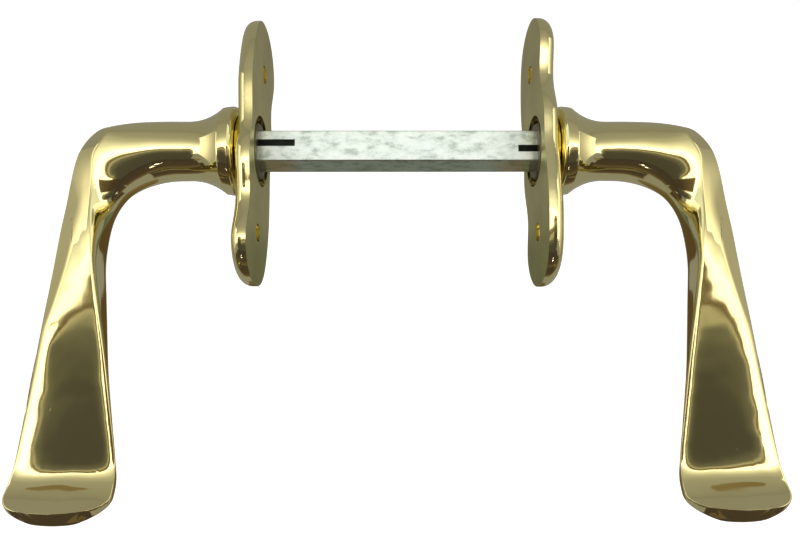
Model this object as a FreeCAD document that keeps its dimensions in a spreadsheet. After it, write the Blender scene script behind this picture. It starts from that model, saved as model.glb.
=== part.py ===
import FreeCAD, Part
import math
import os
import Sketcher

# Door lever set: two cast brass levers on brass rose plates, joined by a square steel spindle.
#
# Frame, in millimetres: X runs along the spindle, from the left lever to the right one, Z is up and
# the grips' broad upper faces look towards -Y. The origin is on the spindle's axis, midway between the
# two rose plates, where the lock's follower sits in the door. The levers hang down, as the set does
# when nothing holds it.
#
# "Out" is the distance along X, away from the door's middle, on either side.

SIZES = {
    # Rose plates: S-shaped castings, symmetric under half a turn about the spindle's axis
    "plate_back_out": 34.2,
    "plate_rim": 3.9,
    "plate_edge_round": 2.9,
    "dome_diameter": 20.8,
    "dome_flat_diameter": 17.4,
    "dome_height": 4.8,
    "bore_diameter": 14.1,
    "recess_diameter": 17.6,
    "recess_depth": 3.0,
    "screw_spacing": 42.0,
    "screw_hole_diameter": 4.4,
    "screw_head_diameter": 8.4,
    "screw_head_angle": 90.0,
    # Levers: journal, collar, neck
    "journal_diameter": 14.0,
    "journal_end_out": 34.3,
    "ring_groove_out": 35.25,
    "ring_groove_width": 1.2,
    "ring_groove_diameter": 12.8,
    "collar_out": 39.15,
    "collar_band": 3.8,
    "collar_diameter": 22.0,
    "collar_edge_round": 1.2,
    "collar_band_fall": 0.35,
    "flare_end_out": 54.0,
    "flare_end_diameter": 13.2,
    "socket_width": 8.1,
    "socket_end_out": 65.0,
    # Grub screws
    "grub_out": 46.6,
    "grub_diameter": 4.96,
    "grub_hole_diameter": 5.0,
    "grub_length": 5.0,
    "grub_bevel": 0.4,
    "grub_point_depth": 3.15,
    "grub_key_width": 2.5,
    "grub_key_depth": 2.2,
    # Spindle
    "spindle_width": 8.0,
    "spindle_length": 120.0,
    "spindle_middle": 2.15,
    "spindle_edge": 0.3,
    "slot_width": 1.75,
    "slot_length": 32.6,
    "slot_offset": 0.73,
    # Washers and snap rings on the journals, in the plates' recesses
    "washer_diameter": 17.2,
    "washer_bore": 14.2,
    "washer_thickness": 0.7,
    "washer_out": 36.45,
    "ring_wire_diameter": 1.1,
    "ring_clearance": 0.03,
    "ring_opening_angle": 40.0,
    # Grip tip
    "tip_corner": 8.0,
    "tip_belly": 1.2,
    "tip_trim_margin": 8.0,
    "tip_trim_depth": 12.0,
    "tip_low": 86.1,
    "tip_forward": 5.9,
    "tip_lean": 46.0,
    "tip_width": 25.5,
    "tip_middle_out": 75.3,
}

# Half of the plate's outline, as (y, z), from the middle of the -Y side down to the middle of the +Y
# side: a waist, then a lobe, the bottom end and a long easy curve. The other half is the same, turned.
PLATE_HALF_OUTLINE = [
    (-12.2, 0.0),
    (-12.7, -7.0),
    (-10.5, -15.8),
    (-12.9, -24.5),
    (-9.8, -30.8),
    (-0.3, -34.2),
    (8.2, -31.0),
    (12.2, -23.0),
    (13.1, -12.0),
]

# Sections of the lever from the round neck, round the elbow and down the grip:
# (inner out, inner z, outer out, outer z, half thickness, middle y, lean towards -Y, squareness).
# Inner and outer are the section's two ends in the plane of the elbow.
LEVER_SECTIONS = [
    (47.0, -7.35, 47.0, 7.35, 7.35, 0.0, 0.0, 2.0),
    (55.5, -7.35, 55.5, 7.35, 7.35, 0.0, 0.0, 2.0),
    (60.4, -8.3, 62.3, 7.6, 7.4, 0.0, 0.0, 2.0),
    (64.3, -9.9, 69.4, 7.2, 7.3, 0.0, 0.0, 2.05),
    (67.2, -12.2, 74.6, 5.3, 7.1, 0.0, 0.0, 2.1),
    (69.2, -15.3, 78.0, 1.3, 6.8, 0.0, 0.0, 2.2),
    (70.4, -19.0, 79.8, -5.8, 6.5, 0.0, 0.0, 2.3),
    (71.0, -23.0, 80.5, -14.5, 6.1, 0.0, 0.0, 2.4),
    (71.0, -28.5, 81.4, -24.5, 5.6, 0.0, 0.0, 2.6),
    (69.7, -37.3, 82.3, -36.3, 4.8, 0.0, 0.0, 2.9),
    (67.7, -49.2, 83.5, -49.2, 3.9, 0.0, 0.0, 3.2),
    (65.9, -60.7, 85.0, -60.7, 3.1, 0.0, 0.0, 3.6),
    (64.1, -71.0, 86.5, -71.0, 2.6, 0.0, 2.0, 4.0),
    (63.3, -76.5, 87.2, -76.5, 2.45, -0.25, 11.0, 4.0),
    (62.9, -80.2, 87.6, -80.2, 2.35, -1.5, 27.0, 4.0),
    (62.7, -83.6, 87.8, -83.6, 2.3, -3.65, 38.0, 4.0),
    (62.6, -86.2, 87.9, -86.2, 2.3, -6.0, 46.0, 4.0),
    (62.6, -88.8, 87.9, -88.8, 2.2, -8.9, 50.0, 4.0),
]
HALF_SECTION_STEPS = 6
THROUGH = 40.0

doc = FreeCAD.newDocument("DoorLeverSet")
sheet = doc.addObject("Spreadsheet::Sheet", "Sizes")
for row, (alias, value) in enumerate(SIZES.items(), start=1):
    sheet.set("A%d" % row, alias)
    sheet.set("B%d" % row, str(value))
    sheet.setAlias("B%d" % row, alias)
doc.recompute()


def size(alias):
    """The sheet's value of one driving dimension."""
    return float(sheet.get(alias))


def plane(body, role):
    """One of a body's own origin planes."""
    return next(item for item in body.Origin.OriginFeatures if item.Role == role)


def add_sketch(body, name, role, geometry, offset=(0.0, 0.0, 0.0)):
    """A sketch on an origin plane, moved by offset in the plane's own axes."""
    sketch = body.newObject("Sketcher::SketchObject", name)
    sketch.AttachmentSupport = (plane(body, role), "")
    sketch.MapMode = "FlatFace"
    sketch.AttachmentOffset = FreeCAD.Placement(FreeCAD.Vector(*offset), FreeCAD.Rotation())
    sketch.addGeometry(geometry, False)
    return sketch


def circle_at(x, y, diameter):
    return Part.Circle(FreeCAD.Vector(x, y, 0), FreeCAD.Vector(0, 0, 1), diameter / 2)


def circle_sketch(body, name, role, diameter, centre=(0.0, 0.0), offset=(0.0, 0.0, 0.0)):
    """One circle whose diameter follows the sheet."""
    sketch = add_sketch(body, name, role, [circle_at(*centre, size(diameter))], offset)
    sketch.addConstraint(Sketcher.Constraint("Diameter", 0, size(diameter)))
    sketch.setExpression("Constraints[0]", "Sizes.%s" % diameter)
    return sketch


def polygon(points):
    """Straight edges round a list of (x, y) corners."""
    corners = [FreeCAD.Vector(x, y, 0) for x, y in points]
    return [Part.LineSegment(a, b) for a, b in zip(corners, corners[1:] + corners[:1])]


def rectangle(low_x, low_y, high_x, high_y):
    return polygon([(low_x, low_y), (high_x, low_y), (high_x, high_y), (low_x, high_y)])


def square_sketch(body, name, role, width, offset=(0.0, 0.0, 0.0)):
    """A centred square whose side follows the sheet."""
    half = size(width) / 2
    sketch = add_sketch(body, name, role, rectangle(-half, -half, half, half), offset)
    for edge in range(4):
        sketch.addConstraint(Sketcher.Constraint("Coincident", edge, 2, (edge + 1) % 4, 1))
    for edge, kind in enumerate(["Horizontal", "Vertical", "Horizontal", "Vertical"]):
        sketch.addConstraint(Sketcher.Constraint(kind, edge))
    sketch.addConstraint(Sketcher.Constraint("Symmetric", 0, 1, 1, 2, -1, 1))
    for number, edge in enumerate((0, 1), start=9):
        sketch.addConstraint(Sketcher.Constraint("Distance", edge, size(width)))
        sketch.setExpression("Constraints[%d]" % number, "Sizes.%s" % width)
    return sketch


def pad(body, name, sketch, length, reverse=False):
    """A pad whose length is an expression of the sheet."""
    feature = body.newObject("PartDesign::Pad", name)
    feature.Profile = sketch
    feature.setExpression("Length", length)
    feature.Reversed = reverse
    return feature


def pocket(body, name, sketch, length=None, reverse=False, both=False):
    """A pocket, through everything when no length is given."""
    feature = body.newObject("PartDesign::Pocket", name)
    feature.Profile = sketch
    if length is None:
        feature.Type = "Length"
        feature.Length = THROUGH
    else:
        feature.setExpression("Length", length)
    feature.Reversed = reverse
    feature.Midplane = both
    return feature


def revolve(body, name, sketch, axis_role, kind="PartDesign::Revolution"):
    """A full turn about one of the body's origin axes."""
    feature = body.newObject(kind, name)
    feature.Profile = sketch
    feature.ReferenceAxis = (plane(body, axis_role), [""])
    feature.Angle = 360.0
    return feature


def round_edges(body, name, base, edges, radius):
    """Fillet the named edges of a feature."""
    feature = body.newObject("PartDesign::Fillet", name)
    feature.Base = (base, edges)
    feature.setExpression("Radius", "Sizes.%s" % radius)
    return feature


def edges_where(feature, test):
    """Names of a feature's edges that pass a test."""
    return ["Edge%d" % n for n, edge in enumerate(feature.Shape.Edges, start=1) if test(edge)]


def in_plane_x(edge, x):
    box = edge.BoundBox
    return abs(box.XMin - x) < 0.01 and abs(box.XMax - x) < 0.01


def smooth_loop(points):
    """A closed smooth curve through (x, y) points."""
    curve = Part.BSplineCurve()
    curve.interpolate(Points=[FreeCAD.Vector(x, y, 0) for x, y in points], PeriodicFlag=True)
    return curve


def half_loop(points, rise):
    """Half of a closed section, leaving and arriving square to the section's width."""
    steps = len(points) - 1
    curve = Part.BSplineCurve()
    start, finish = FreeCAD.Vector(0, rise, 0), FreeCAD.Vector(0, -rise, 0)
    curve.interpolate(Points=points, Parameters=[step / steps for step in range(steps + 1)],
                      InitialTangent=start, FinalTangent=finish)
    return curve


def new_body(label):
    body = doc.addObject("PartDesign::Body", label)
    body.Label = label
    return body


def make_plate(label, side):
    """A rose plate, built with its back face on x = 0 and its front towards -X."""
    body = new_body(label)
    turned_half = [(-y, -z) for y, z in PLATE_HALF_OUTLINE]
    outline = add_sketch(body, "Outline", "YZ_Plane", [smooth_loop(PLATE_HALF_OUTLINE + turned_half)])
    slab = pad(body, "Slab", outline, "Sizes.plate_rim", reverse=True)
    doc.recompute()
    front = edges_where(slab, lambda edge: in_plane_x(edge, -size("plate_rim")))
    round_edges(body, "FrontRound", slab, front, "plate_edge_round")

    # The middle swells to a low dome with a flat top, on which the lever's collar turns
    rim, dome = size("plate_rim"), size("dome_height")
    dome_radius, flat_radius = size("dome_diameter") / 2, size("dome_flat_diameter") / 2
    blend = 0.1 * rim
    crown = [(-rim / 2, 0), (-rim / 2, dome_radius), (-rim + blend, dome_radius), (-dome, flat_radius),
             (-dome, 0)]
    profile = add_sketch(body, "DomeProfile", "XY_Plane", polygon(crown))
    revolve(body, "Dome", profile, "X_Axis")

    bore = circle_sketch(body, "BoreCircle", "YZ_Plane", "bore_diameter", offset=(0, 0, 1.0))
    pocket(body, "Bore", bore)
    recess = circle_sketch(body, "RecessCircle", "YZ_Plane", "recess_diameter")
    pocket(body, "Recess", recess, "Sizes.recess_depth")
    doc.recompute()

    half_spacing = size("screw_spacing") / 2
    diameter, head = size("screw_hole_diameter"), size("screw_head_diameter")
    sink = (head - diameter) / 2 / math.tan(math.radians(size("screw_head_angle") / 2))
    for number, z in enumerate((-half_spacing, half_spacing), start=1):
        hole = circle_sketch(body, "ScrewCircle%d" % number, "YZ_Plane", "screw_hole_diameter",
                             centre=(0, z), offset=(0, 0, 1.0))
        pocket(body, "ScrewHole%d" % number, hole)
        cone = [(-rim - 0.01, z), (-rim - 0.01, z + head / 2), (-rim + sink, z + diameter / 2),
                (-rim + sink, z)]
        sketch = add_sketch(body, "SinkProfile%d" % number, "XZ_Plane", polygon(cone))
        groove = body.newObject("PartDesign::Groove", "Countersink%d" % number)
        groove.Profile = sketch
        groove.ReferenceAxis = (sketch, ["Edge4"])
        groove.Angle = 360.0
    turn = FreeCAD.Rotation(FreeCAD.Vector(0, 0, 1), 0 if side < 0 else 180)
    body.Placement = FreeCAD.Placement(FreeCAD.Vector(side * size("plate_back_out"), 0, 0), turn)
    body.setExpression("Placement.Base.x", "%d * Sizes.plate_back_out" % side)
    return body


def section_sketch(body, number, section, side):
    """One closed section of the lever, standing across the line of the neck and grip."""
    inner_out, inner_z, outer_out, outer_z, half_thick, middle_y, lean, squareness = section
    inner = FreeCAD.Vector(side * inner_out, middle_y, inner_z)
    outer = FreeCAD.Vector(side * outer_out, middle_y, outer_z)
    across = (outer - inner).normalize()
    lean_angle = math.radians(lean)
    through = FreeCAD.Vector(0, math.cos(lean_angle), -math.sin(lean_angle))
    half_width = outer.distanceToPoint(inner) / 2
    points = []
    for step in range(2 * HALF_SECTION_STEPS + 1):
        angle = math.pi * step / HALF_SECTION_STEPS
        reach = [math.copysign(abs(part) ** (2 / squareness), part)
                 for part in (math.cos(angle), math.sin(angle))]
        points.append(FreeCAD.Vector(half_width * reach[0], half_thick * reach[1], 0))
    points[-1] = points[0]
    halves = [half_loop(points[:HALF_SECTION_STEPS + 1], 1), half_loop(points[HALF_SECTION_STEPS:], -1)]
    sketch = add_sketch(body, "Section%02d" % number, "XY_Plane", halves)
    turn = FreeCAD.Rotation(across, through, across.cross(through), "XYZ")
    sketch.AttachmentOffset = FreeCAD.Placement((inner + outer) / 2, turn)
    return sketch


def neck_profile(side):
    """Half section of journal, collar and flare, as (x, radius) edges about the X axis."""
    journal, collar, flare_low = (size(name) / 2 for name in
                                  ("journal_diameter", "collar_diameter", "flare_end_diameter"))
    groove_out, groove_width = size("ring_groove_out"), size("ring_groove_width")
    groove = size("ring_groove_diameter") / 2
    collar_out, band = size("collar_out"), size("collar_band")
    edge_round = size("collar_edge_round")
    flare_end = (size("flare_end_out"), flare_low)
    corners = [
        (size("journal_end_out"), 0),
        (size("journal_end_out"), journal),
        (groove_out, journal),
        (groove_out, groove),
        (groove_out + groove_width, groove),
        (groove_out + groove_width, journal),
        (collar_out, journal),
        (collar_out, collar - edge_round),
    ]
    points = [FreeCAD.Vector(side * out, radius, 0) for out, radius in corners]
    edges = [Part.LineSegment(a, b) for a, b in zip(points, points[1:])]

    def arc(start, middle, end):
        ends = [FreeCAD.Vector(side * out, radius, 0) for out, radius in (start, middle, end)]
        return Part.Arc(*ends)

    corner = edge_round * (1 - math.cos(math.pi / 4))
    band_start = (collar_out + edge_round, collar)
    band_end = (collar_out + band, collar - size("collar_band_fall"))
    # Two fifths of the way along, the flare has made three fifths of its fall
    flare_middle = (0.6 * band_end[0] + 0.4 * flare_end[0], 0.4 * band_end[1] + 0.6 * flare_low)
    edges.append(arc(corners[-1], (collar_out + corner, collar - corner), band_start))
    crest = collar + 0.05 * size("collar_band_fall")
    edges.append(arc(band_start, ((band_start[0] + band_end[0]) / 2, crest), band_end))
    edges.append(arc(band_end, flare_middle, flare_end))
    tail = [flare_end, (flare_end[0], 0), corners[0]]
    points = [FreeCAD.Vector(side * out, radius, 0) for out, radius in tail]
    return edges + [Part.LineSegment(a, b) for a, b in zip(points, points[1:])]


def make_lever(label, side):
    """A lever: turned journal and collar, then a lofted neck, elbow and grip."""
    body = new_body(label)
    sections = [section_sketch(body, number, section, side)
                for number, section in enumerate(LEVER_SECTIONS, start=1)]
    grip = body.newObject("PartDesign::AdditiveLoft", "NeckElbowGrip")
    grip.Profile = sections[0]
    grip.Sections = sections[1:]
    doc.recompute()

    # The grip's end is cut to a shallow arc with round corners, seen square to its broad face
    trim = add_sketch(body, "TipTrim", "XZ_Plane", tip_trim(side))
    tip = FreeCAD.Vector(0, -size("tip_low"), size("tip_forward"))
    lean = FreeCAD.Rotation(FreeCAD.Vector(1, 0, 0), -size("tip_lean"))
    trim.AttachmentOffset = FreeCAD.Placement(tip, lean)
    pocket(body, "TipEnd", trim, both=True)
    doc.recompute()

    turned = add_sketch(body, "NeckProfile", "XY_Plane", neck_profile(side))
    revolve(body, "JournalAndCollar", turned, "X_Axis")
    doc.recompute()

    socket = square_sketch(body, "SocketSquare", "YZ_Plane", "socket_width",
                           (0, 0, side * size("socket_end_out")))
    pocket(body, "Socket", socket, reverse=side < 0)
    doc.recompute()

    centre = (side * size("grub_out"), -side * size("slot_offset"))
    hole = circle_sketch(body, "GrubCircle", "XZ_Plane", "grub_hole_diameter", centre,
                         offset=(0, 0, -size("spindle_width") / 4))
    pocket(body, "GrubHole", hole)
    return body


def tip_trim(side):
    """Everything past the grip's end: a frame whose upper side follows the rounded end."""
    middle, half, corner = size("tip_middle_out"), size("tip_width") / 2, size("tip_corner")
    belly = size("tip_belly")
    reach, bottom = half + size("tip_trim_margin"), -size("tip_trim_depth")
    top = belly + corner
    cut_in = corner * (1 - math.sqrt(0.5))

    def at(out, z):
        return FreeCAD.Vector(side * (middle + out), z, 0)

    corner_starts = [at(-half, top), at(half, top)]
    corner_middles = [at(-half + cut_in, belly + cut_in), at(half - cut_in, belly + cut_in)]
    corner_ends = [at(-half + corner, belly * 0.8), at(half - corner, belly * 0.8)]
    return [
        Part.LineSegment(at(-reach, bottom), at(-reach, top)),
        Part.LineSegment(at(-reach, top), corner_starts[0]),
        Part.Arc(corner_starts[0], corner_middles[0], corner_ends[0]),
        Part.Arc(corner_ends[0], at(0, 0), corner_ends[1]),
        Part.Arc(corner_ends[1], corner_middles[1], corner_starts[1]),
        Part.LineSegment(corner_starts[1], at(reach, top)),
        Part.LineSegment(at(reach, top), at(reach, bottom)),
        Part.LineSegment(at(reach, bottom), at(-reach, bottom)),
    ]


def make_spindle(label):
    """A square bar with a slot sawn into each end, across Y, a little off its middle."""
    body = new_body(label)
    section = square_sketch(body, "Square", "YZ_Plane", "spindle_width",
                            (0, 0, -size("spindle_length") / 2))
    bar = pad(body, "Bar", section, "Sizes.spindle_length")
    doc.recompute()
    long_edges = edges_where(bar, lambda edge: edge.Length > size("spindle_width") * 2)
    chamfer = body.newObject("PartDesign::Chamfer", "LongEdges")
    chamfer.Base = (bar, long_edges)
    chamfer.setExpression("Size", "Sizes.spindle_edge")
    doc.recompute()
    half_length, slot_length = size("spindle_length") / 2, size("slot_length")
    for side, name in ((-1, "LeftSlot"), (1, "RightSlot")):
        ends = sorted((side * (half_length - slot_length), side * (half_length + 1)))
        middle = -side * size("slot_offset")
        half = size("slot_width") / 2
        outline = rectangle(ends[0], middle - half, ends[1], middle + half)
        sketch = add_sketch(body, name + "Outline", "XZ_Plane", outline)
        pocket(body, name, sketch, both=True)
        doc.recompute()
    body.Placement = FreeCAD.Placement(FreeCAD.Vector(size("spindle_middle"), 0, 0), FreeCAD.Rotation())
    body.setExpression("Placement.Base.x", "Sizes.spindle_middle")
    return body


def make_grub_screw(label, side):
    """A set screw with a cone point and a hexagon key socket, along its own Z with the point down."""
    body = new_body(label)
    radius, length = size("grub_diameter") / 2, size("grub_length")
    bevel = size("grub_bevel")
    profile = [(0, 0), (radius, radius), (radius, length - bevel), (radius - bevel, length), (0, length)]
    sketch = add_sketch(body, "Profile", "XZ_Plane", polygon(profile))
    revolve(body, "Turned", sketch, "Z_Axis")
    doc.recompute()
    corner = size("grub_key_width") / math.sqrt(3)
    turns = [math.radians(60 * n) for n in range(6)]
    corners = [(corner * math.cos(turn), corner * math.sin(turn)) for turn in turns]
    key = add_sketch(body, "KeyHexagon", "XY_Plane", polygon(corners), (0, 0, length))
    pocket(body, "KeySocket", key, "Sizes.grub_key_depth")
    place = FreeCAD.Vector(side * size("grub_out"), size("grub_point_depth"), -side * size("slot_offset"))
    point_in = FreeCAD.Rotation(FreeCAD.Vector(1, 0, 0), -90)
    body.Placement = FreeCAD.Placement(place, point_in)
    body.setExpression("Placement.Base.x", "%d * Sizes.grub_out" % side)
    return body


def make_washer(label, side):
    """A thin washer on the journal, between the snap ring and the floor of the plate's recess."""
    discs = []
    for role, alias in (("Outer", "washer_diameter"), ("Inner", "washer_bore")):
        disc = doc.addObject("Part::Cylinder", label + role)
        disc.setExpression("Radius", "Sizes.%s / 2" % alias)
        disc.setExpression("Height", "Sizes.washer_thickness")
        discs.append(disc)
    washer = doc.addObject("Part::Cut", label)
    washer.Base, washer.Tool = discs
    washer.Label = label
    start = size("washer_out") if side > 0 else -size("washer_out") - size("washer_thickness")
    turn = FreeCAD.Rotation(FreeCAD.Vector(0, 1, 0), 90)
    washer.Placement = FreeCAD.Placement(FreeCAD.Vector(start, 0, 0), turn)
    return washer


def make_snap_ring(label, side):
    """A round-wire ring in the journal's groove, open at the bottom."""
    ring = doc.addObject("Part::Torus", label)
    ring.Label = label
    ring.setExpression("Radius1", "(Sizes.ring_groove_diameter + Sizes.ring_wire_diameter) / 2"
                       " + Sizes.ring_clearance")
    ring.setExpression("Radius2", "Sizes.ring_wire_diameter / 2")
    ring.setExpression("Angle3", "360 - Sizes.ring_opening_angle")
    middle = size("ring_groove_out") + size("ring_groove_width") / 2
    lay = FreeCAD.Rotation(FreeCAD.Vector(0, 1, 0), 90)
    spin = FreeCAD.Rotation(FreeCAD.Vector(0, 0, 1), size("ring_opening_angle") / 2)
    ring.Placement = FreeCAD.Placement(FreeCAD.Vector(side * middle, 0, 0), lay * spin)
    return ring


parts = [make_spindle("spindle")]
for side, name in ((-1, "left"), (1, "right")):
    parts.append(make_plate("plate_" + name, side))
    parts.append(make_lever("lever_" + name, side))
    parts.append(make_grub_screw("grub_screw_" + name, side))
    parts.append(make_washer("washer_" + name, side))
    parts.append(make_snap_ring("snap_ring_" + name, side))
doc.recompute()

for item in doc.Objects:
    if "Invalid" in item.State or "Error" in item.State:
        raise RuntimeError("%s did not build" % item.Name)
for part in parts:
    if part.Shape.isNull() or not part.Shape.isValid() or len(part.Shape.Solids) != 1:
        raise RuntimeError("%s is not one valid solid" % part.Label)

os.makedirs("parts", exist_ok=True)
for part in parts:
    part.Shape.exportStep("parts/%s.step" % part.Label)
    box = part.Shape.BoundBox
    print("%-18s %9.1f mm3  X %6.2f..%6.2f  Y %6.2f..%6.2f  Z %6.2f..%6.2f" % (
        part.Label, part.Shape.Volume, box.XMin, box.XMax, box.YMin, box.YMax, box.ZMin, box.ZMax))
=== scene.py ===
import math

import bmesh
import bpy
import numpy as np
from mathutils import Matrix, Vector


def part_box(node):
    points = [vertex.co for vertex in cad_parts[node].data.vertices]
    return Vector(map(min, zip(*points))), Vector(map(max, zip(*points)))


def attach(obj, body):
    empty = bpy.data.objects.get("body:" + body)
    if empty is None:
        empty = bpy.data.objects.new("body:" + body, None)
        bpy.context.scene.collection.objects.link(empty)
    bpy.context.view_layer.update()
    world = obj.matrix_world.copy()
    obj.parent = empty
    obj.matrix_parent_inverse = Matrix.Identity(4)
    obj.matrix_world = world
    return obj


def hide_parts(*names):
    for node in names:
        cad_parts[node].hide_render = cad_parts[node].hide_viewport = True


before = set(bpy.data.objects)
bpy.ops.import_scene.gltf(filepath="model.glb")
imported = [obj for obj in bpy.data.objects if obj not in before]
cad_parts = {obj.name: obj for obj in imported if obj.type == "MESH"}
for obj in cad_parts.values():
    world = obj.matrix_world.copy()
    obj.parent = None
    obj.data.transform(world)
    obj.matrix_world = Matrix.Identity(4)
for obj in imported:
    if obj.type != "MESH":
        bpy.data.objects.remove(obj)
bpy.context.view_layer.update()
MM = 0.001
SIDES = (("left", -1), ("right", 1))


# ---------------------------------------------------------------- sizes, in millimetres
# "Out" is the distance along X from the door's middle, on either side.

# Columns round a lever
COLUMNS = 160

# The turned part of a lever, from its journal's end to the neck. The ring groove is given by where
# it starts and ends and its radius. The collar rises from a tiny root, in X and in radius. Its band
# falls slightly towards a small step, and the hollow flare follows, with its rows closest together
# at the step.
JOURNAL_END, JOURNAL_RADIUS, JOURNAL_CHAMFER = 34.3, 7.0, 0.4
GROOVE = (35.25, 36.45, 6.4)
COLLAR_FACE, COLLAR_BAND, COLLAR_RADIUS, COLLAR_ROUND = 39.15, 3.8, 11.0, 1.2
COLLAR_FALL = 0.35
COLLAR_ROOT = (0.02, 0.1)
NECK_RADIUS, NECK_START = 7.35, 52.0
FLARE_ROWS, FLARE_SPACING, FLARE_HOLLOW, FLARE_STEP = 30, 1.4, 2.2, 0.12
SOCKET_HALF, SOCKET_END = 4.05, 65.0

# The spindle's sawn slots lie within this distance of its middle plane
SLOT_REACH = 1.8

# Bore for the grub screw, by radius and by where it starts and ends along Y
SCREW_BORE = (2.5, 3.0, 12.0)

# Sections down the lever: inner out, inner z, outer out, outer z, half thickness, middle y,
# lean towards -Y in degrees, squareness, squareness of the front's inner half, and where the front
# is fullest, from -1 at the inner end to 1 at the outer
STATIONS = np.array([
    (52.0, -7.35, 52.0, 7.35, 7.35, 0.0, 0.0, 2.0, 2.0, 0.0),
    (56.5, -7.50, 56.5, 7.35, 7.35, 0.0, 0.0, 2.0, 2.0, 0.02),
    (60.4, -8.30, 61.6, 7.20, 7.30, 0.0, 0.0, 2.0, 2.0, 0.12),
    (64.2, -9.90, 67.8, 6.45, 7.20, 0.0, 0.0, 2.05, 2.0, 0.30),
    (67.2, -12.2, 73.3, 4.20, 7.10, 0.0, 0.0, 2.1, 2.0, 0.70),
    (69.3, -15.5, 77.2, 0.00, 6.95, 0.0, 0.0, 2.2, 2.0, 0.88),
    (70.5, -19.2, 79.4, -6.6, 6.70, 0.0, 0.0, 2.4, 2.6, 0.66),
    (71.0, -23.5, 80.6, -14.5, 6.40, 0.0, 0.0, 2.6, 4.6, 0.25),
    (71.0, -29.0, 81.5, -24.5, 5.90, 0.0, 0.0, 2.8, 6.5, 0.0),
    (69.7, -37.8, 82.4, -36.3, 5.00, 0.0, 0.0, 3.2, 7.5, 0.0),
    (67.7, -49.2, 83.6, -49.2, 4.05, 0.0, 0.0, 4.0, 8.0, 0.0),
    (65.9, -60.7, 84.6, -60.7, 3.25, 0.0, 0.0, 4.8, 8.0, 0.0),
    (64.3, -70.5, 85.6, -70.5, 2.70, 0.0, 0.0, 6.0, 8.0, 0.0),
    (63.6, -75.0, 86.1, -75.0, 2.50, -0.1, 4.0, 7.0, 8.0, 0.0),
    (63.1, -78.8, 86.4, -78.8, 2.42, -0.9, 20.0, 8.0, 8.0, 0.0),
    (62.8, -82.0, 86.5, -82.0, 2.38, -2.6, 33.0, 8.0, 8.0, 0.0),
    (62.7, -84.6, 86.5, -84.6, 2.32, -4.6, 42.0, 8.0, 8.0, 0.0),
    (62.7, -86.4, 86.5, -86.4, 2.28, -6.4, 47.0, 8.0, 8.0, 0.0),
])
BACK_ROUNDNESS = 2.05

# Fine rows as far as the elbow's end, then coarser ones down the grip
ELBOW_LENGTH, FINE_STEP, COARSE_STEP, CORNER_ROWS = 40.0, 0.35, 0.6, 40

# The tip: corner radius, how far the end bows down between its corners, its worn edge, and the
# length over which the bow grows
TIP_CORNER, TIP_BELLY, TIP_EDGE, BELLY_LENGTH = 5.2, 1.0, 0.7, 10.0

# How far the blade's edges stand forward, as a share of its half thickness, the heights between
# which that grows going down, and the share of it lost again between the two heights at the curl
EDGE_FORWARD, FORWARD_SPAN = 0.6, (32.0, 58.0)
FORWARD_LOSS, FORWARD_LOSS_SPAN = 0.6, (74.0, 80.0)

# The grip's front face: a plane turned outwards that runs out into the elbow above and lies square
# below, by height: where its inner edge stands, how deep it is there, how steeply it falls away
# outwards, and where the narrow outer facet begins
FRONT_FACE = np.array([
    (-95.0, 60.0, 2.30, 0.00, 90.0),
    (-75.0, 62.0, 2.42, 0.00, 89.0),
    (-66.0, 64.0, 2.90, 0.00, 85.4),
    (-55.0, 66.0, 3.62, 0.00, 83.2),
    (-45.0, 68.2, 4.35, 0.00, 80.8),
    (-35.0, 70.6, 5.10, 0.06, 78.6),
    (-28.0, 71.8, 5.70, 0.15, 77.2),
    (-22.0, 71.9, 6.20, 0.26, 76.4),
    (-15.0, 70.2, 6.75, 0.37, 76.0),
    (-8.0, 71.4, 6.85, 0.50, 77.5),
    (-3.0, 73.2, 6.70, 0.64, 80.0),
    (1.0, 74.8, 6.10, 0.78, 84.0),
    (5.0, 77.0, 5.20, 0.90, 90.0),
])
FACET_SLOPE = 0.62

# How far past the round neck, down the lever, the front face is cut in
CUT_SPAN = (8.0, 12.0)

# Width of the worn line where two faces meet, and the front face's slight crown and rolled edges,
# given like the forward edges above
FACE_BLEND = 0.28
CROWN, CROWN_SPAN = 0.42, (14.0, 40.0)
EDGE_ROLL, ROLL_SPAN = 0.40, (36.0, 58.0)
ROLL_LOSS, ROLL_LOSS_SPAN = 0.7, (74.0, 79.0)


# ---------------------------------------------------------------- small tools

def smooth_table(knots, values, at):
    """Natural cubic spline through each column of values, read at the given places."""
    count = len(knots)
    step = np.diff(knots)
    system = np.zeros((count, count))
    right = np.zeros((count, values.shape[1]))
    system[0, 0] = system[-1, -1] = 1.0
    for n in range(1, count - 1):
        system[n, n - 1:n + 2] = step[n - 1], 2 * (step[n - 1] + step[n]), step[n]
        right[n] = 6 * ((values[n + 1] - values[n]) / step[n] - (values[n] - values[n - 1]) / step[n - 1])
    bend = np.linalg.solve(system, right)
    cell = np.clip(np.searchsorted(knots, at, side="right") - 1, 0, count - 2)
    width = step[cell][:, None]
    left = (knots[cell + 1] - at)[:, None]
    past = (at - knots[cell])[:, None]
    return ((bend[cell] * left ** 3 + bend[cell + 1] * past ** 3) / (6 * width)
            + (values[cell] / width - bend[cell] * width / 6) * left
            + (values[cell + 1] / width - bend[cell + 1] * width / 6) * past)


def soft_min(a, b, blend):
    """The smaller of two values, rounded over where they meet."""
    share = np.clip(0.5 + 0.5 * (b - a) / blend, 0.0, 1.0)
    return a * share + b * (1 - share) - blend * share * (1 - share)


def ramp(value, low, high):
    """0 below low, 1 above high, smooth between."""
    share = np.clip((value - low) / (high - low), 0.0, 1.0)
    return share * share * (3 - 2 * share)


def arc_points(centre, radius, start, end, count):
    """Points on an arc, by angle in degrees, without its first point."""
    angles = np.radians(np.linspace(start, end, count + 1)[1:])
    return [(centre[0] + radius * math.cos(a), centre[1] + radius * math.sin(a)) for a in angles]


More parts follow.
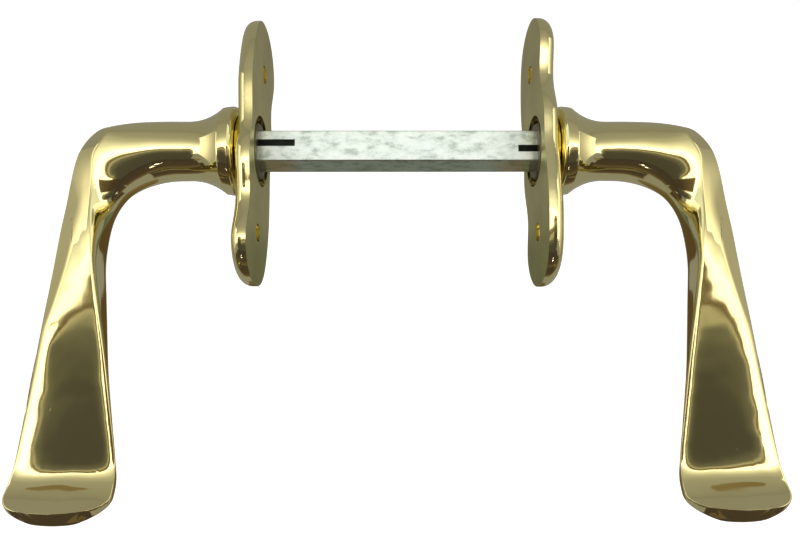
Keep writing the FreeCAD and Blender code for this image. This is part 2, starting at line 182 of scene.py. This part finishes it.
def mesh_object(name, points, faces):
    mesh = bpy.data.meshes.new(name)
    mesh.from_pydata([tuple(p) for p in points], [], faces)
    mesh.validate()
    made = bpy.data.objects.new(name, mesh)
    bpy.context.scene.collection.objects.link(made)
    return made


def shade(piece):
    """Smooth shading, with edges sharper than 40 degrees kept crisp."""
    piece.data.shade_smooth()
    piece.data.set_sharp_from_angle(angle=math.radians(40.0))


# ---------------------------------------------------------------- lever

def turned_rows():
    """(out, radius) down the lever's turned part, from the journal's end to the neck."""
    groove_start, groove_end, groove = GROOVE
    rows = [(JOURNAL_END, JOURNAL_RADIUS - JOURNAL_CHAMFER)]
    rows.append((JOURNAL_END + JOURNAL_CHAMFER, JOURNAL_RADIUS))
    rows += [(groove_start, JOURNAL_RADIUS), (groove_start, groove)]
    rows += [(groove_end, groove), (groove_end, JOURNAL_RADIUS)]
    root_length, root_height = COLLAR_ROOT
    rows.append((COLLAR_FACE - root_length, JOURNAL_RADIUS))
    rows.append((COLLAR_FACE, JOURNAL_RADIUS + root_height))
    rows.append((COLLAR_FACE, COLLAR_RADIUS - COLLAR_ROUND))
    band_start, band_end = COLLAR_FACE + COLLAR_ROUND, COLLAR_FACE + COLLAR_BAND
    rows += arc_points((band_start, COLLAR_RADIUS - COLLAR_ROUND), COLLAR_ROUND, 180, 90, 8)
    for share in np.linspace(0.15, 0.93, 8):
        rows.append((band_start + share * (band_end - band_start),
                     COLLAR_RADIUS - COLLAR_FALL * share ** 2))
    flare_height = COLLAR_RADIUS - COLLAR_FALL - FLARE_STEP - NECK_RADIUS
    for share in np.linspace(0, 1, FLARE_ROWS)[:-1] ** FLARE_SPACING:
        rows.append((band_end + share * (NECK_START - band_end),
                     NECK_RADIUS + flare_height * (1 - share) ** FLARE_HOLLOW))
    return rows


def ring(out, radius):
    """One turned row; the first column is at the top."""
    angle = 2 * np.pi * np.arange(COLUMNS) / COLUMNS
    return np.column_stack([np.full(COLUMNS, out), radius * np.sin(angle), radius * np.cos(angle)])


def square_ring(out, half):
    """The same columns as a ring, on a square."""
    angle = 2 * np.pi * np.arange(COLUMNS) / COLUMNS
    reach = half / np.maximum(np.abs(np.sin(angle)), np.abs(np.cos(angle)))
    return np.column_stack([np.full(COLUMNS, out), reach * np.sin(angle), reach * np.cos(angle)])


def front_depth(out, height, share, round_depth):
    """How far the grip's front stands off its middle: the round section, cut by the front face and
    the outer facet. Share runs from -1 on the inner side to 1 on the outer."""
    reach = np.clip(height, FRONT_FACE[0, 0], FRONT_FACE[-1, 0])
    edge, depth, slope, facet = smooth_table(FRONT_FACE[:, 0], FRONT_FACE[:, 1:], reach).T
    rolled = ramp(-height, *ROLL_SPAN) * (1 - ROLL_LOSS * ramp(-height, *ROLL_LOSS_SPAN))
    crowned = ramp(-height, *CROWN_SPAN)
    face = depth - slope * (out - edge)
    face -= crowned * CROWN * share ** 2 + rolled * EDGE_ROLL * np.abs(share) ** 7
    side = depth - slope * (facet - edge) - FACET_SLOPE * (out - facet)
    cut = soft_min(face, side, FACE_BLEND * (1 + 2 * rolled))
    return soft_min(round_depth, cut, FACE_BLEND)


def grip_places(length):
    """Distances down the lever at which rows are made, closest together at the tip's corners."""
    corner_start = length - TIP_CORNER
    rounding = length - TIP_CORNER * (1 - np.cos(np.linspace(0, np.pi / 2, CORNER_ROWS)))[::-1]
    return np.concatenate([np.arange(0, ELBOW_LENGTH, FINE_STEP),
                           np.arange(ELBOW_LENGTH, corner_start - COARSE_STEP / 2, COARSE_STEP),
                           rounding])


def section_power(share, front, squareness, inner_squareness, fullest):
    """Squareness of a section at each column: its back, its front, and the front's inner half."""
    return np.where(front, np.where(share < fullest, inner_squareness, squareness), BACK_ROUNDNESS)


def section_share(front, shape):
    """Where each column lies across a section, from -1 at its inner end to 1 at its outer."""
    across = np.cos(2 * np.pi * np.arange(COLUMNS) / COLUMNS)
    return np.sign(across) * np.abs(across) ** (2 / section_power(across, front, *shape))


def section_depth(share, front, half_thick, shape):
    """Half the section's thickness at each column, before the front face is cut."""
    power = section_power(share, front, *shape)
    crest = np.where(front, shape[-1], 0.0)
    fall = np.abs(share - crest) / np.where(share < shape[-1], 1 + crest, 1 - crest)
    fall = np.where(front, fall, np.abs(share))
    return half_thick * (1 - np.clip(fall, 0, 1) ** power) ** (1 / power)


def grip_rows():
    """The lofted rows, from the neck to the tip, each a closed loop of columns."""
    middle = (STATIONS[:, 0:2] + STATIONS[:, 2:4]) / 2
    line = np.column_stack([middle, STATIONS[:, 5]])
    knots = np.concatenate([[0], np.cumsum(np.linalg.norm(np.diff(line, axis=0), axis=1))])
    length = knots[-1]
    places = grip_places(length)
    front = np.sin(2 * np.pi * np.arange(COLUMNS) / COLUMNS) < 0
    rows = []
    for place, row in zip(places, smooth_table(knots, STATIONS, places)):
        inner, outer = row[0:2], row[2:4]
        half_thick, middle_y, lean = row[4:7]
        shape = row[7:10]
        centre = (inner + outer) / 2
        half = np.linalg.norm(outer - inner) / 2
        across = (outer - inner) / (2 * half)
        to_end = length - place
        half_wide = half
        if to_end < TIP_CORNER:
            half_wide -= TIP_CORNER - math.sqrt(TIP_CORNER ** 2 - (TIP_CORNER - to_end) ** 2)
        share = section_share(front, shape)
        through = section_depth(share, front, half_thick, shape)
        out = centre[0] + half_wide * share * across[0]
        height = centre[1] + half_wide * share * across[1]

        # The front face is cut in past the round neck
        depth = front_depth(out, height, (out - centre[0]) / half, through)
        on_grip = ramp(place, *CUT_SPAN)
        depth = through + (depth - through) * on_grip

        # The blade's edges stand nearer its front face than its back
        forward = EDGE_FORWARD * half_thick * share ** 2
        forward *= ramp(-height, *FORWARD_SPAN)
        forward *= 1 - FORWARD_LOSS * ramp(-height, *FORWARD_LOSS_SPAN)

        # The front arris of the end is crisp, the back one well rounded
        edge = min(1.0, to_end / TIP_EDGE)
        worn = TIP_EDGE * (1 - math.sqrt(edge * (2 - edge)))
        front_through = -np.maximum(np.minimum(depth, half_thick - 0.5 * worn), forward)
        back_through = np.minimum(through, half_thick - 2 * worn) - forward
        through = np.where(front, front_through, back_through)

        lean_angle = math.radians(lean)
        belly = TIP_BELLY * share ** 2 * ramp(place, length - BELLY_LENGTH, length)
        rows.append(np.column_stack([
            out,
            middle_y + through * math.cos(lean_angle) + belly * math.sin(lean_angle),
            height - through * math.sin(lean_angle) + belly * math.cos(lean_angle)]))
    return rows


def lever_rows():
    """Every row of a lever, from the socket's far end, out of its mouth, and on to the tip."""
    rows = [square_ring(SOCKET_END, SOCKET_HALF), square_ring(JOURNAL_END, SOCKET_HALF)]
    rows += [ring(out, radius) for out, radius in turned_rows()]
    return rows + grip_rows()


def end_faces(start):
    """Flat faces across one row, which starts at the given point, in pairs of opposite columns."""
    half = COLUMNS // 2
    faces = []
    for column in range(half - 1):
        corners = (start + column, start + column + 1,
                   start + (COLUMNS - column - 1) % COLUMNS, start + (COLUMNS - column) % COLUMNS)
        faces.append(tuple(dict.fromkeys(corners)))
    faces.append((start + half - 1, start + half, start + half + 1))
    return faces


def make_lever(name, side, rows):
    """One lever, on its own side, with its socket and tip closed by flat faces."""
    points = np.concatenate(rows) * MM
    points[:, 0] *= side
    faces = []
    for row in range(len(rows) - 1):
        for column in range(COLUMNS):
            a = row * COLUMNS + column
            b = row * COLUMNS + (column + 1) % COLUMNS
            faces.append((a, b, b + COLUMNS, a + COLUMNS))
    faces += end_faces(0) + end_faces((len(rows) - 1) * COLUMNS)
    lever = mesh_object("lever_%s_cast" % name, points, faces)
    fix_mesh(lever)
    return lever


def fix_mesh(piece):
    """Closes doubled points and makes the faces look outwards."""
    work = bmesh.new()
    work.from_mesh(piece.data)
    bmesh.ops.remove_doubles(work, verts=work.verts, dist=1e-6)
    bmesh.ops.dissolve_degenerate(work, edges=work.edges, dist=1e-7)
    bmesh.ops.recalc_face_normals(work, faces=work.faces)
    work.to_mesh(piece.data)
    work.free()


def cut_round_hole(piece, centre, radius, low_y, high_y):
    """Bores a round hole along Y with a boolean, and keeps the result as the piece's mesh."""
    work = bmesh.new()
    bmesh.ops.create_cone(work, cap_ends=True, segments=48, radius1=radius, radius2=radius,
                          depth=high_y - low_y)
    tool_mesh = bpy.data.meshes.new("tool")
    work.to_mesh(tool_mesh)
    work.free()
    tool = bpy.data.objects.new("tool", tool_mesh)
    bpy.context.scene.collection.objects.link(tool)
    tool.rotation_euler = (math.pi / 2, 0, 0)
    tool.location = (centre[0], (low_y + high_y) / 2, centre[1])
    cut = piece.modifiers.new("hole", "BOOLEAN")
    cut.operation, cut.solver, cut.object = "DIFFERENCE", "EXACT", tool
    bpy.context.view_layer.update()
    bored = bpy.data.meshes.new_from_object(piece.evaluated_get(bpy.context.evaluated_depsgraph_get()))
    piece.modifiers.clear()
    piece.data = bored
    bpy.data.objects.remove(tool)
    bpy.data.meshes.remove(tool_mesh)


# ---------------------------------------------------------------- materials

class Nodes:
    """Adds nodes to a material and links them by name."""

    def __init__(self, name):
        self.material = bpy.data.materials.new(name)
        self.material.use_nodes = True
        self.tree = self.material.node_tree
        self.shader = self.tree.nodes["Principled BSDF"]

    def add(self, kind, inputs=None, **settings):
        node = self.tree.nodes.new(kind)
        for key, value in settings.items():
            setattr(node, key, value)
        for key, value in (inputs or {}).items():
            if isinstance(value, bpy.types.NodeSocket):
                self.tree.links.new(value, node.inputs[key])
            else:
                node.inputs[key].default_value = value
        return node

    def link(self, output, socket):
        self.tree.links.new(output, socket)

    def place(self, stretch=(1, 1, 1)):
        """Object coordinates, stretched."""
        coordinates = self.add("ShaderNodeTexCoord").outputs["Object"]
        return self.add("ShaderNodeMapping", {"Vector": coordinates, "Scale": stretch}).outputs["Vector"]

    def noise(self, scale, detail=3.0, stretch=(1, 1, 1), roughness=0.5):
        return self.add("ShaderNodeTexNoise", {
            "Vector": self.place(stretch), "Scale": scale, "Detail": detail, "Roughness": roughness,
        }).outputs["Fac"]

    def ramp(self, value, stops):
        """A colour ramp from (place, colour) stops."""
        node = self.add("ShaderNodeValToRGB", {"Fac": value})
        while len(node.color_ramp.elements) < len(stops):
            node.color_ramp.elements.new(0.5)
        for element, (place, colour) in zip(node.color_ramp.elements, stops):
            element.position = place
            element.color = (*colour, 1)
        return node.outputs["Color"]

    def combine(self, operation, *values):
        """A math node's result."""
        return self.add("ShaderNodeMath", dict(enumerate(values)), operation=operation).outputs["Value"]

    def to_range(self, value, low, high):
        """A value from 0 to 1, spread between low and high."""
        spread = self.add("ShaderNodeMapRange", {"Value": value, "To Min": low, "To Max": high})
        return spread.outputs["Result"]

    def bump(self, height, strength, distance, under=None):
        inputs = {"Height": height, "Strength": strength, "Distance": distance}
        if under is not None:
            inputs["Normal"] = under
        return self.add("ShaderNodeBump", inputs).outputs["Normal"]


def polished_brass():
    """Pale greenish-yellow cast brass, hand polished: soft waves, fine pits and faint wiping marks."""
    nodes = Nodes("polished_brass")
    tone = nodes.ramp(nodes.noise(38.0, 4.0), [(0.3, (0.82, 0.73, 0.36)), (0.7, (0.88, 0.79, 0.42))])
    nodes.link(tone, nodes.shader.inputs["Base Color"])
    nodes.shader.inputs["Metallic"].default_value = 1.0
    polish = nodes.to_range(nodes.noise(160.0, 5.0, (1, 1, 0.25)), 0.03, 0.12)
    nodes.link(polish, nodes.shader.inputs["Roughness"])
    waves = nodes.bump(nodes.noise(60.0, 2.0), 0.8, 0.00050)
    grain = nodes.bump(nodes.noise(2600.0, 2.0, (1, 1, 0.12)), 0.12, 0.00002, waves)
    cells = nodes.add("ShaderNodeTexVoronoi", {"Vector": nodes.place(), "Scale": 190.0})
    pits = nodes.ramp(cells.outputs["Distance"], [(0.0, (0.0, 0.0, 0.0)), (0.07, (1.0, 1.0, 1.0))])
    nodes.link(nodes.bump(pits, 0.25, 0.00008, grain), nodes.shader.inputs["Normal"])
    return nodes.material


def satin_brass():
    """The plates' linished backs: matte tan brass with fine crosswise lines."""
    nodes = Nodes("satin_brass")
    tone = nodes.ramp(nodes.noise(70.0, 6.0), [(0.3, (0.48, 0.43, 0.18)), (0.7, (0.63, 0.57, 0.25))])
    nodes.link(tone, nodes.shader.inputs["Base Color"])
    nodes.shader.inputs["Metallic"].default_value = 1.0
    nodes.link(nodes.to_range(nodes.noise(220.0, 4.0), 0.38, 0.52), nodes.shader.inputs["Roughness"])
    lines = nodes.noise(900.0, 3.0, (1, 0.06, 1))
    nodes.link(nodes.bump(lines, 0.25, 0.00004), nodes.shader.inputs["Normal"])
    return nodes.material


def socket_shade_brass():
    """Unpolished brass in the socket and on the journal, darkened brown as painted shade."""
    nodes = Nodes("socket_shade_brass")
    tone = nodes.ramp(nodes.noise(300.0, 6.0), [(0.3, (0.13, 0.11, 0.06)), (0.7, (0.27, 0.235, 0.13))])
    nodes.link(tone, nodes.shader.inputs["Base Color"])
    nodes.shader.inputs["Metallic"].default_value = 1.0
    nodes.link(nodes.to_range(nodes.noise(500.0, 4.0), 0.42, 0.6), nodes.shader.inputs["Roughness"])
    nodes.link(nodes.bump(nodes.noise(1400.0, 3.0), 0.3, 0.00005), nodes.shader.inputs["Normal"])
    return nodes.material


def zinc_steel():
    """Zinc-plated drawn bar: mottled grey with fine lines along its length."""
    nodes = Nodes("zinc_steel")
    mottle = nodes.noise(620.0, 6.0, (0.5, 1, 1), 0.65)
    tone = nodes.ramp(mottle, [
        (0.36, (0.55, 0.60, 0.55)), (0.48, (0.82, 0.87, 0.82)), (0.60, (0.93, 0.96, 0.92))])
    nodes.link(tone, nodes.shader.inputs["Base Color"])
    nodes.shader.inputs["Metallic"].default_value = 1.0
    nodes.link(nodes.to_range(mottle, 0.38, 0.22), nodes.shader.inputs["Roughness"])
    lines = nodes.bump(nodes.noise(1500.0, 3.0, (0.02, 1, 1)), 0.3, 0.00004)
    nodes.link(nodes.bump(nodes.noise(420.0, 4.0), 0.2, 0.00006, lines), nodes.shader.inputs["Normal"])
    return nodes.material


def plain_steel(name, dark, light, rough):
    """Small steel parts, oiled or blackened, with a slightly uneven skin."""
    nodes = Nodes(name)
    skin = nodes.noise(400.0, 4.0)
    nodes.link(nodes.ramp(skin, [(0.3, dark), (0.7, light)]), nodes.shader.inputs["Base Color"])
    nodes.shader.inputs["Metallic"].default_value = 1.0
    nodes.link(nodes.to_range(skin, rough - 0.06, rough + 0.06), nodes.shader.inputs["Roughness"])
    nodes.link(nodes.bump(nodes.noise(1800.0), 0.15, 0.00003), nodes.shader.inputs["Normal"])
    return nodes.material


# ---------------------------------------------------------------- stage

# The two dark screens, painted reflections: where their tops are, their height, the part of it
# that holds the lighter head, how square the head's corners are, how much of the sides' edges
# shows lower down, and the head heights below the top between which the edges weaken
SCREEN_TOP, SCREEN_HEIGHT, SCREEN_HEAD = -22, 480, 96
HEAD_SQUARENESS, LOW_EDGES, EDGES_FULL, EDGES_WEAK = 2.6, 0.4, 0.7, 1.15
# How bright the small glowing squares are that put painted glints on the levers
SPARK_GLOW = 14.0


def sheet(x, y, z):
    """A flat sheet's four corners; two of the places are (start, end) pairs and one is a number."""
    places = (x, y, z)
    first, second = [n for n, place in enumerate(places) if isinstance(place, tuple)]
    corners = []
    for along_first, along_second in ((0, 0), (1, 0), (1, 1), (0, 1)):
        corner = list(places)
        corner[first] = places[first][along_first]
        corner[second] = places[second][along_second]
        corners.append(corner)
    return corners


def panel(name, corners, paint=None, glow=1.0):
    """A glowing sheet that shows only in reflections, white or painted. Paint is a function that
    returns the colour from the sheet's own nodes. Its places across and up need four corners."""
    made = mesh_object(name, [Vector(corner) * MM for corner in corners], [tuple(range(len(corners)))])
    across = made.data.uv_layers.new(name="across")
    for loop, place in zip(across.data, ((0, 0), (1, 0), (1, 1), (0, 1))):
        loop.uv = place
    nodes = Nodes(name)
    nodes.tree.nodes.remove(nodes.shader)
    emission = nodes.add("ShaderNodeEmission", {"Color": (1, 1, 1, 1), "Strength": glow})
    nodes.link(emission.outputs["Emission"], nodes.tree.nodes["Material Output"].inputs["Surface"])
    if paint:
        nodes.link(paint(nodes), emission.inputs["Color"])
    made.data.materials.append(nodes.material)
    made.visible_camera = False
    made.visible_diffuse = False
    made.visible_shadow = False


def sheet_place(nodes, axis):
    """Place on a four-cornered panel, from 0 to 1, across (X) or up (Y)."""
    uv = nodes.add("ShaderNodeTexCoord").outputs["UV"]
    return nodes.add("ShaderNodeSeparateXYZ", {"Vector": uv}).outputs[axis]


def screen_reflection(nodes):
    """Painted reflection of a dark screen, its head's edge lighter and brown-lined, weaker down its
    sides.
    """
    from_middle = nodes.add("ShaderNodeMapRange", {"Value": sheet_place(nodes, "X"), "To Min": -1.0})
    aside = nodes.combine("ABSOLUTE", from_middle.outputs["Result"])
    side_strength = nodes.add("ShaderNodeMapRange", {
        "Value": sheet_place(nodes, "Y"), "From Min": 1 - EDGES_WEAK * SCREEN_HEAD / SCREEN_HEIGHT,
        "From Max": 1 - EDGES_FULL * SCREEN_HEAD / SCREEN_HEIGHT, "To Min": LOW_EDGES})
    aside = nodes.combine("MULTIPLY", aside, side_strength.outputs["Result"])
    up = nodes.add("ShaderNodeMapRange", {
        "Value": sheet_place(nodes, "Y"), "From Min": 1 - SCREEN_HEAD / SCREEN_HEIGHT})
    aside = nodes.combine("POWER", aside, HEAD_SQUARENESS)
    up = nodes.combine("POWER", up.outputs["Result"], HEAD_SQUARENESS)
    reach = nodes.combine("POWER", nodes.combine("ADD", aside, up), 1 / HEAD_SQUARENESS)
    return nodes.ramp(reach, [
        (0.0, (0.075, 0.068, 0.060)), (0.50, (0.080, 0.076, 0.066)), (0.74, (0.17, 0.165, 0.13)),
        (0.82, (0.62, 0.58, 0.42)), (0.85, (0.12, 0.08, 0.035)), (0.92, (0.20, 0.15, 0.07)),
        (0.955, (2.2, 2.1, 1.9))])


def window_reflection(nodes):
    """Painted reflection: bright low down, fading upwards to the room's grey."""
    return nodes.ramp(sheet_place(nodes, "Y"), [
        (0.20, (2.4, 2.4, 2.3)), (0.22, (1.50, 1.47, 1.35)), (0.26, (1.05, 1.03, 0.93)),
        (0.32, (0.58, 0.57, 0.51)), (0.42, (0.40, 0.395, 0.365)), (1.0, (0.26, 0.26, 0.24))])


def apron_reflection(nodes):
    """Painted reflection of what stands between the two screens: brown, darker towards the bottom."""
    return nodes.ramp(sheet_place(nodes, "Y"), [
        (0.0, (0.05, 0.038, 0.035)), (0.80, (0.07, 0.05, 0.035)), (1.0, (0.16, 0.115, 0.06))])


def room_reflection(nodes):
    """Painted reflection of the dim room behind, seen in the levers' inner sides."""
    return nodes.ramp(sheet_place(nodes, "Y"), [
        (0.0, (0.20, 0.18, 0.12)), (0.5, (0.16, 0.12, 0.055)), (1.0, (0.10, 0.065, 0.03))])


def wall_reflection(nodes):
    """Painted reflection of a broad soft wall, brightest towards the front."""
    return nodes.ramp(sheet_place(nodes, "X"), [
        (0.0, (1.9, 1.82, 1.62)), (0.28, (1.3, 1.24, 1.08)), (0.50, (0.74, 0.71, 0.62)),
        (0.68, (0.46, 0.45, 0.40)), (1.0, (0.33, 0.32, 0.30))])


def bench_reflection(nodes):
    """Painted reflection of a dark brown bench under the handles."""
    return nodes.ramp(sheet_place(nodes, "Y"), [
        (0.0, (0.055, 0.045, 0.045)), (0.75, (0.075, 0.055, 0.038)), (1.0, (0.16, 0.12, 0.07))])


def card_reflection(nodes):
    """Painted reflection of a white card in front of the spindle."""
    return nodes.ramp(sheet_place(nodes, "Y"), [(0.0, (0.92, 0.96, 0.90)), (1.0, (1.10, 1.14, 1.07))])


def shade_paint(nodes):
    """Painted reflection of a grey card behind the spindle, seen in its underside."""
    return nodes.ramp(sheet_place(nodes, "Y"), [(0.0, (0.16, 0.19, 0.15)), (1.0, (0.12, 0.145, 0.115))])


def curl_patch_reflection(nodes):
    """Painted reflection: an uneven brown patch, seen in the curled tips."""
    return nodes.ramp(nodes.noise(30.0), [(0.0, (0.20, 0.15, 0.075)), (1.0, (0.26, 0.20, 0.10))])


def make_sweep():
    """A pale floor that curves up into the back wall, in metres."""
    floor = Nodes("floor")
    floor.shader.inputs["Base Color"].default_value = (0.93, 0.93, 0.93, 1)
    floor.shader.inputs["Roughness"].default_value = 0.8
    floor.shader.inputs["Emission Color"].default_value = (1, 1, 1, 1)
    floor.shader.inputs["Emission Strength"].default_value = 0.5
    half_width, floor_z, front_y, back_y, bend, top = 6.0, -0.22, -3.0, 1.6, 0.8, 4.0
    profile = [(front_y, floor_z), (back_y - bend, floor_z)]
    profile += [(back_y - bend + bend * math.sin(a), floor_z + bend * (1 - math.cos(a)))
                for a in np.linspace(0, math.pi / 2, 17)[1:]]
    profile.append((back_y, top))
    points = [(x, y, z) for y, z in profile for x in (-half_width, half_width)]
    faces = [(2 * n, 2 * n + 1, 2 * n + 3, 2 * n + 2) for n in range(len(profile) - 1)]
    sweep = mesh_object("studio_sweep", points, faces)
    sweep.data.shade_smooth()
    sweep.data.materials.append(floor.material)
    sweep.visible_glossy = False


def make_world():
    world = bpy.data.worlds.new("studio")
    world.use_nodes = True
    background = world.node_tree.nodes["Background"]
    background.inputs["Color"].default_value = (0.30, 0.30, 0.29, 1)
    background.inputs["Strength"].default_value = 1.0
    bpy.context.scene.world = world


def make_panels():
    """The painted reflections of a room, for the brass and the spindle. The camera doesn't see it."""
    panel("window", sheet((-900, 900), -260, (-150, 550)), window_reflection)
    panel("apron", sheet((-90, 90), -175, (-500, SCREEN_TOP - 4)), apron_reflection)
    panel("room_behind", sheet((-80, 80), 160, (-220, 15)), room_reflection)
    panel("card_front", sheet((-40, 40), -60, (-8, 62)), card_reflection)
    panel("card_back", sheet((-34, 34), 50, (-34, -8)), shade_paint)
    for name, side in SIDES:
        screen = sheet((side * 48, side * 200), -150, (SCREEN_TOP - SCREEN_HEIGHT, SCREEN_TOP))
        panel("screen_" + name, screen, screen_reflection)
        panel("bench_" + name, sheet((side * 5, side * 260), (-150, -14), -180), bench_reflection)
        panel("bench_tip_" + name, sheet((side * 62, side * 330), (-60, 90), -182), bench_reflection)
        # A small brown sheet whose painted reflection is a patch in each curled tip
        curl_patch = [(side * (99 + 13 * math.cos(a)), -31 + 3.5 * math.sin(a), -42)
                 for a in np.linspace(0, 2 * math.pi, 25)[:-1]]
        panel("curl_patch_" + name, curl_patch, curl_patch_reflection)
        # Small glowing squares, seen only as painted glints on the levers
        for number, (x, y) in enumerate(((84, -74), (96, -90))):
            spark = sheet((side * x, side * (x + 4)), (y, y + 4), -172)
            panel("spark_%s_%d" % (name, number), spark, glow=SPARK_GLOW)
        panel("wall_" + name, sheet(side * 420, (-260, 120), (-150, 200)), wall_reflection)


def area_light(name, place, aim, size_x, size_y, power):
    """A soft light that doesn't show in reflections."""
    data = bpy.data.lights.new(name, "AREA")
    data.shape, data.size, data.size_y, data.energy = "RECTANGLE", size_x * MM, size_y * MM, power
    lamp = bpy.data.objects.new(name, data)
    bpy.context.scene.collection.objects.link(lamp)
    lamp.location = Vector(place) * MM
    lamp.rotation_mode = "QUATERNION"
    lamp.rotation_quaternion = (Vector(aim) * MM - lamp.location).to_track_quat("-Z", "Y")
    lamp.visible_camera = False
    lamp.visible_glossy = False


# ---------------------------------------------------------------- build

def dress(piece, *materials):
    """Gives a piece these materials in place of its own."""
    piece.data.materials.clear()
    for material in materials:
        piece.data.materials.append(material)


def build_lever(name, side, rows):
    """A lever with its screw hole, polished outside, with painted shade in its socket and on its journal.
    """
    lever = make_lever(name, side, rows)
    screw_low, screw_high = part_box("grub_screw_" + name)
    screw = (screw_low + screw_high) / 2
    radius, start_y, end_y = SCREW_BORE
    cut_round_hole(lever, (screw.x, screw.z), radius * MM, start_y * MM, end_y * MM)
    shade(lever)
    dress(lever, BRASS, SOCKET_SHADE)
    # The journal and the socket, hidden in the plate's bore, take the second material: painted shade
    for face in lever.data.polygons:
        in_socket = max(abs(face.center.y), abs(face.center.z)) < 1.02 * SOCKET_HALF * MM
        out = abs(face.center.x)
        hidden = out < (COLLAR_FACE - 0.1) * MM or in_socket and out < (SOCKET_END + 0.1) * MM
        face.material_index = 1 if hidden else 0
    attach(lever, "lever_%s_body" % name)
    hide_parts("lever_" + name)


def dress_plate(plate, side):
    """Polished brass, with a linished back."""
    dress(plate, BRASS, SATIN)
    for face in plate.data.polygons:
        face.material_index = 1 if face.normal.x * side < -0.99 else 0


def dress_spindle(spindle):
    """Zinc plated, with bare steel in its sawn slots, darkened as painted shade."""
    dress(spindle, ZINC, SLOT_SHADE)
    for face in spindle.data.polygons:
        in_slot = abs(face.center.z) < SLOT_REACH * MM and abs(face.normal.y) < 0.5
        face.material_index = 1 if in_slot else 0


BRASS, SATIN, SOCKET_SHADE, ZINC = polished_brass(), satin_brass(), socket_shade_brass(), zinc_steel()
SPRING = plain_steel("spring_steel", (0.16, 0.15, 0.13), (0.28, 0.27, 0.24), 0.38)
# Bare steel for the slots, its dark tone painted shade
SLOT_SHADE = plain_steel("slot_shade_steel", (0.16, 0.20, 0.16), (0.26, 0.31, 0.26), 0.5)
BLACK = plain_steel("screw_steel", (0.05, 0.05, 0.05), (0.09, 0.09, 0.09), 0.42)

rows = lever_rows()
for name, side in SIDES:
    build_lever(name, side, rows)
    dress_plate(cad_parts["plate_" + name], side)
    dress(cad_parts["washer_" + name], SPRING)
    dress(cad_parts["snap_ring_" + name], SPRING)
    dress(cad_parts["grub_screw_" + name], BLACK)
dress_spindle(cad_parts["spindle"])

make_sweep()
make_world()
make_panels()
area_light("overhead", (0, -100, 700), (0, 0, -60), 900, 700, 6.0)
area_light("front", (0, -600, 200), (0, 0, -40), 700, 500, 4.0)

# The camera is close, below the spindle, and looks up a little
camera_data = bpy.data.cameras.new("camera")
camera_data.lens = 29.2
camera_data.sensor_width = 36.0
camera = bpy.data.objects.new("camera", camera_data)
camera.location = Vector((-1.1, -153.4, -62.8)) * MM
camera.rotation_euler = [math.radians(turn) for turn in (101.84, 0.24, -0.52)]
bpy.context.scene.collection.objects.link(camera)
bpy.context.scene.camera = camera
bpy.context.scene.view_settings.view_transform = "Standard"
